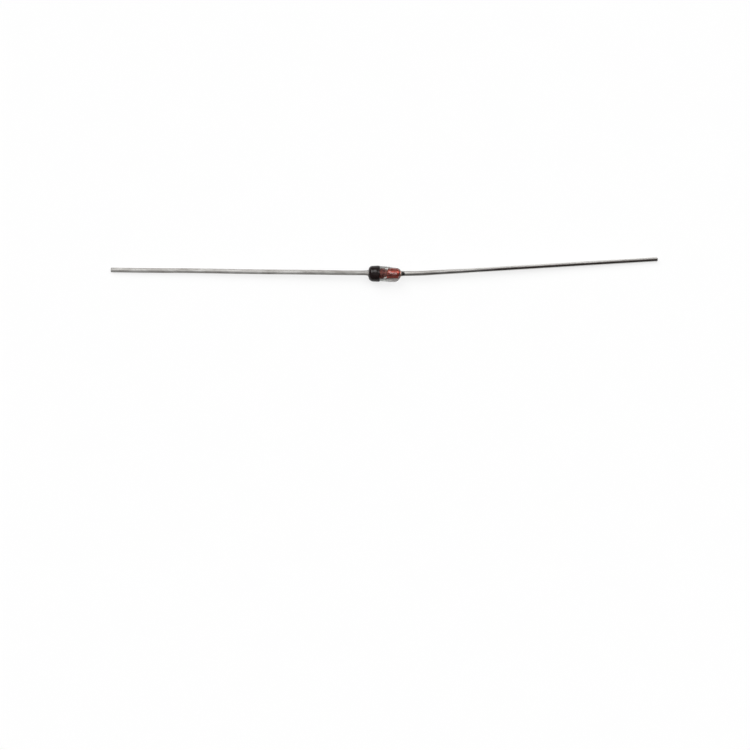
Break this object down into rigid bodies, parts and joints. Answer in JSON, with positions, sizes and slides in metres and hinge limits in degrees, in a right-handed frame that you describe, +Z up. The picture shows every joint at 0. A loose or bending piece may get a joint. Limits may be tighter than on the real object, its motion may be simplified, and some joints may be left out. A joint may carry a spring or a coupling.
{
  "type": "zener diode",
  "caption": "Axial-lead zener diode: a sealed glass sleeve over two slugs and a die, with a black cathode band and straight tinned leads splayed at their roots.",
  "frame": {"origin": "on the surface the diode lies on, under the middle of the glass", "axes": "+X along the glass axis from the banded cathode to the anode, +Z up"},
  "size_m": [0.0576, 0.0026, 0.0016],
  "materials": {
    "glass": "clear, fire-polished",
    "band_ink": "baked black ink, satin",
    "red_copper": "red oxide on copper-clad wire, satin",
    "silicon": "sawn, satin",
    "silver": "plated",
    "tinned_wire": "tin-plated, drawn"
  },
  "bodies": {
    "root": {"glass_sleeve": "glass", "cathode_band": "band_ink", "cathode_slug": "red_copper", "anode_slug": "red_copper", "zener_die": "silicon", "contact_bump": "silver", "cathode_lead": "tinned_wire", "anode_lead": "tinned_wire"}
  },
  "joints": []
}
